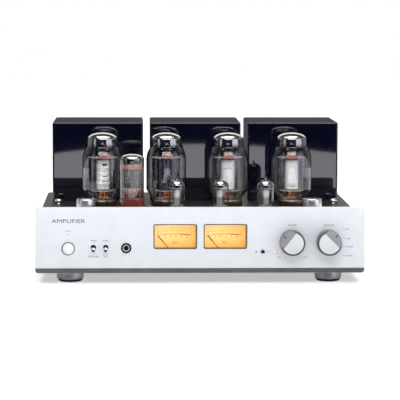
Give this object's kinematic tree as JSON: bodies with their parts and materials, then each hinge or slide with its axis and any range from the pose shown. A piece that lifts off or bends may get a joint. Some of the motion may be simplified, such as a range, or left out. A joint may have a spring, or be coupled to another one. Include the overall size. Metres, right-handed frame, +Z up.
{
  "type": "tube amplifier",
  "caption": "Hi-fi valve amplifier: silver front panel with level meters, knobs and switches, glass tubes on an open deck and boxed black transformers behind.",
  "frame": {"origin": "on the surface under the feet, below the middle of the whole object's bounding box", "axes": "+X to the right seen from the front, +Y from the front panel to the rear, +Z up"},
  "size_m": [0.43, 0.383, 0.1984],
  "materials": {
    "panel_aluminium": "fine-blasted, clear anodised satin",
    "chassis_paint": "dark grey fine-texture powder coat",
    "cover_lacquer": "mirror-gloss black lacquer",
    "foot_metal": "turned satin grey with a black pad",
    "transformer_iron": "varnished laminations and taped coil",
    "tube_glass": "clear blown glass with a silvered top",
    "tube_base": "dark brown moulded base with a gold ring",
    "octal_base": "red-brown moulded base",
    "electrode_metal": "carbonised grey plate metal",
    "circuit_board": "solder-mask green board with sockets and parts",
    "chrome": "polished chrome",
    "knob_aluminium": "spun face, polished rim",
    "black_plastic": "moulded black",
    "clear_acrylic": "clear polished window",
    "needle_paint": "dark painted pointer"
  },
  "bodies": {
    "root": {"front_panel": "panel_aluminium", "chassis": "chassis_paint", "bottom_cover": "chassis_paint", "foot_front_left": "foot_metal", "foot_front_right": "foot_metal", "foot_rear_left": "foot_metal", "foot_rear_right": "foot_metal", "transformer_cover_left": "cover_lacquer", "transformer_cover_center": "cover_lacquer", "transformer_cover_right": "cover_lacquer", "output_transformer_left": "transformer_iron", "power_transformer": "transformer_iron", "output_transformer_right": "transformer_iron", "power_tube_1_bulb": "tube_glass", "power_tube_1_base": "tube_base", "power_tube_1_electrodes": "electrode_metal", "power_tube_2_bulb": "tube_glass", "power_tube_2_base": "tube_base", "power_tube_2_electrodes": "electrode_metal", "power_tube_3_bulb": "tube_glass", "power_tube_3_base": "tube_base", "power_tube_3_electrodes": "electrode_metal", "power_tube_4_bulb": "tube_glass", "power_tube_4_base": "tube_base", "power_tube_4_electrodes": "electrode_metal", "rectifier_tube_bulb": "tube_glass", "rectifier_tube_base": "octal_base", "rectifier_tube_electrodes": "electrode_metal", "driver_tube_1_bulb": "tube_glass", "driver_tube_1_electrodes": "electrode_metal", "driver_tube_2_bulb": "tube_glass", "driver_tube_2_electrodes": "electrode_metal", "driver_tube_3_bulb": "tube_glass", "driver_tube_3_electrodes": "electrode_metal", "power_socket_board": "circuit_board", "driver_board": "circuit_board", "power_supply_board": "circuit_board", "control_board": "circuit_board", "remote_receiver": "circuit_board", "guard_pin_left": "chrome", "meter_case_left": "black_plastic", "meter_window_left": "clear_acrylic", "guard_pin_right": "chrome", "meter_case_right": "black_plastic", "meter_window_right": "clear_acrylic", "headphone_jack": "black_plastic", "volume_pot": "black_plastic", "selector_switch": "black_plastic", "iec_inlet": "black_plastic", "speaker_terminal_strip": "black_plastic", "input_jack_strip": "black_plastic"},
    "power_button": {"power_button": "knob_aluminium"},
    "toggle_left": {"toggle_lever_left": "chrome"},
    "toggle_right": {"toggle_lever_right": "chrome"},
    "volume_knob": {"volume_knob": "knob_aluminium"},
    "selector_knob": {"selector_knob": "knob_aluminium"},
    "needle_left": {"meter_needle_left": "needle_paint"},
    "needle_right": {"meter_needle_right": "needle_paint"},
    "bias_cap_left": {"bias_cap_left": "chrome"},
    "bias_cap_right": {"bias_cap_right": "chrome"}
  },
  "joints": [
    {"name": "power_button_press", "type": "slide", "parent": "root", "child": "power_button", "axis": [0, 1, 0], "range_m": [0, 0.003], "stiffness_N_per_m": 200, "springref_m": -0.002},
    {"name": "toggle_left_flip", "type": "hinge", "parent": "root", "child": "toggle_left", "pos_m": [-0.1393, -0.1685, 0.0488], "axis": [-1, 0, 0], "range_deg": [0, 25]},
    {"name": "toggle_right_flip", "type": "hinge", "parent": "root", "child": "toggle_right", "pos_m": [-0.1233, -0.1685, 0.0488], "axis": [-1, 0, 0], "range_deg": [0, 25]},
    {"name": "volume_turn", "type": "hinge", "parent": "root", "child": "volume_knob", "pos_m": [0.1194, -0.1715, 0.0558], "axis": [0, 1, 0], "range_deg": [-100, 200]},
    {"name": "selector_turn", "type": "hinge", "parent": "root", "child": "selector_knob", "pos_m": [0.1674, -0.1715, 0.0558], "axis": [0, 1, 0], "range_deg": [0, 90]},
    {"name": "needle_left_swing", "type": "hinge", "parent": "root", "child": "needle_left", "pos_m": [-0.0327, -0.1608, 0.0372], "axis": [0, 1, 0], "range_deg": [0, 82.6], "stiffness_Nm_per_rad": 0.00002, "springref_deg": -17.19},
    {"name": "needle_right_swing", "type": "hinge", "parent": "root", "child": "needle_right", "pos_m": [0.0327, -0.1608, 0.0372], "axis": [0, 1, 0], "range_deg": [0, 82.6], "stiffness_Nm_per_rad": 0.00002, "springref_deg": -17.19},
    {"name": "bias_cap_left_lift", "type": "slide", "parent": "root", "child": "bias_cap_left", "axis": [0, 0, 1], "range_m": [0, 0.02]},
    {"name": "bias_cap_right_lift", "type": "slide", "parent": "root", "child": "bias_cap_right", "axis": [0, 0, 1], "range_m": [0, 0.02]}
  ]
}
